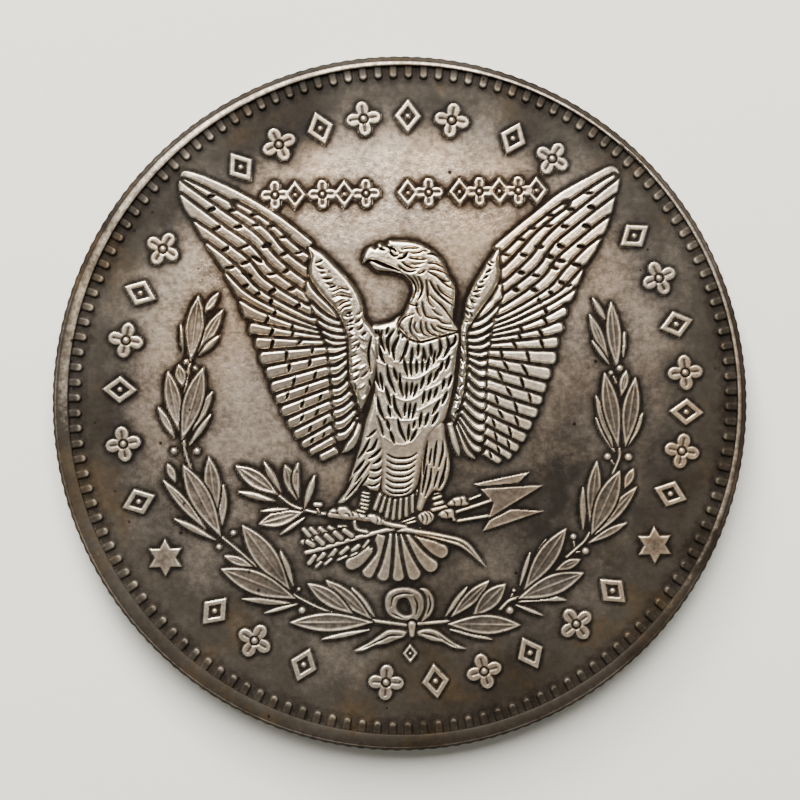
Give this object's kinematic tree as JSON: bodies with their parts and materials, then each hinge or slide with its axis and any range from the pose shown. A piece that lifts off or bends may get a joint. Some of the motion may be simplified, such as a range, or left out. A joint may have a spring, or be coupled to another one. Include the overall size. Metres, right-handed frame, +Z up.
{
  "type": "challenge coin",
  "caption": "Round struck medal with a spread-winged eagle in a wreath, raised beaded border and reeded edge, in antiqued silver.",
  "frame": {"origin": "middle of the underside, at the level of the lower rim that the coin rests on", "axes": "+Z up out of the eagle side, +Y towards the top of the eagle side, +X to the right as that side is read"},
  "size_m": [0.0382, 0.0382, 0.0024],
  "materials": {
    "antique_silver_field": "antiqued silver, satin, dark patina round the relief",
    "antique_silver_relief": "antiqued silver, high points rubbed bright, dark in the grooves",
    "antique_silver_rim": "antiqued silver, worn bright on the flat of the rim"
  },
  "bodies": {
    "root": {"planchet": "antique_silver_field", "reeded_rim": "antique_silver_rim", "front_border_beads": "antique_silver_rim", "eagle_head": "antique_silver_relief", "eagle_breast": "antique_silver_relief", "eagle_left_leg": "antique_silver_relief", "eagle_right_leg": "antique_silver_relief", "eagle_tail": "antique_silver_relief", "left_wing_arm": "antique_silver_relief", "left_wing_coverts": "antique_silver_relief", "left_wing_flight_feathers": "antique_silver_relief", "right_wing_arm": "antique_silver_relief", "right_wing_coverts": "antique_silver_relief", "right_wing_flight_feathers": "antique_silver_relief", "olive_branch": "antique_silver_relief", "arrow_bundle": "antique_silver_relief", "left_wreath": "antique_silver_relief", "right_wreath": "antique_silver_relief", "wreath_bow": "antique_silver_relief", "left_star": "antique_silver_relief", "right_star": "antique_silver_relief", "upper_ornament_ring": "antique_silver_relief", "lower_ornament_ring": "antique_silver_relief", "motto_row_ornaments": "antique_silver_relief", "back_border_beads": "antique_silver_rim", "back_star_and_ring": "antique_silver_relief", "back_small_stars": "antique_silver_relief"}
  },
  "joints": []
}
